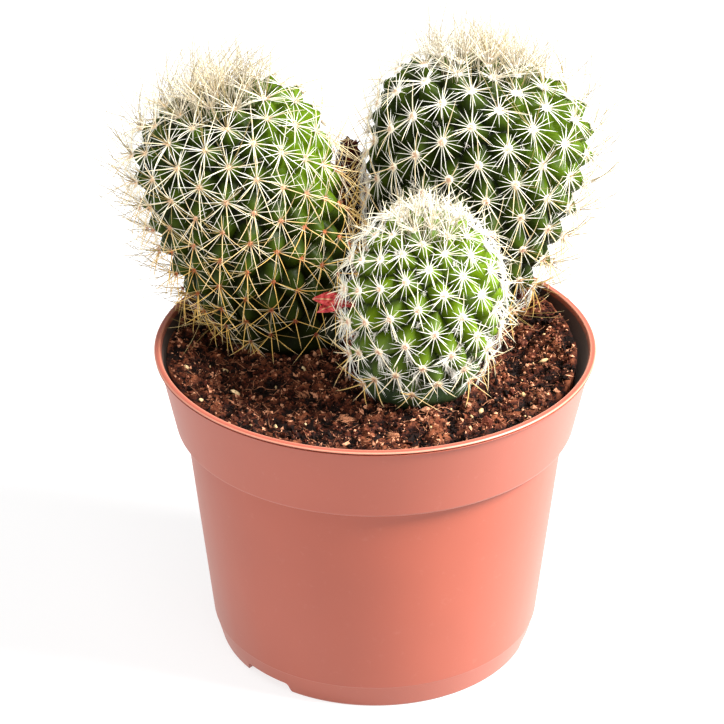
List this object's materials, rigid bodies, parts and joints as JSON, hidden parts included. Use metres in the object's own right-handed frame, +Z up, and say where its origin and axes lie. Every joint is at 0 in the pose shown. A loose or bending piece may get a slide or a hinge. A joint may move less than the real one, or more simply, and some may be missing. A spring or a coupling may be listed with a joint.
{
  "type": "potted round cactus",
  "caption": "Cluster of spiny round cacti with white and golden spines, growing in dark peat in a plain terracotta-coloured plastic nursery pot.",
  "frame": {"origin": "middle of the pot's underside, on the flat centre pad that it stands on", "axes": "+Z up along the pot's axis, -Y towards the front with the small cactus, +X to the viewer's right"},
  "size_m": [0.1454, 0.1344, 0.1707],
  "materials": {
    "pot_plastic": "smooth semi-matt moulded plastic, terracotta colour",
    "peat": "rough moist crumbly peat",
    "skin_bright": "waxy satin living skin, bright green",
    "skin_dark": "waxy satin living skin, dark green",
    "dry_tissue": "rough shrivelled dry plant tissue",
    "petal": "soft matt withered petal",
    "spines": "satin horny spine, white to golden",
    "wool": "soft matt plant wool"
  },
  "bodies": {
    "root": {"pot": "pot_plastic", "soil": "peat", "cactus_front": "skin_bright", "cactus_left": "skin_dark", "cactus_back": "skin_dark", "dried_stem": "dry_tissue", "flower": "petal"}
  },
  "joints": []
}
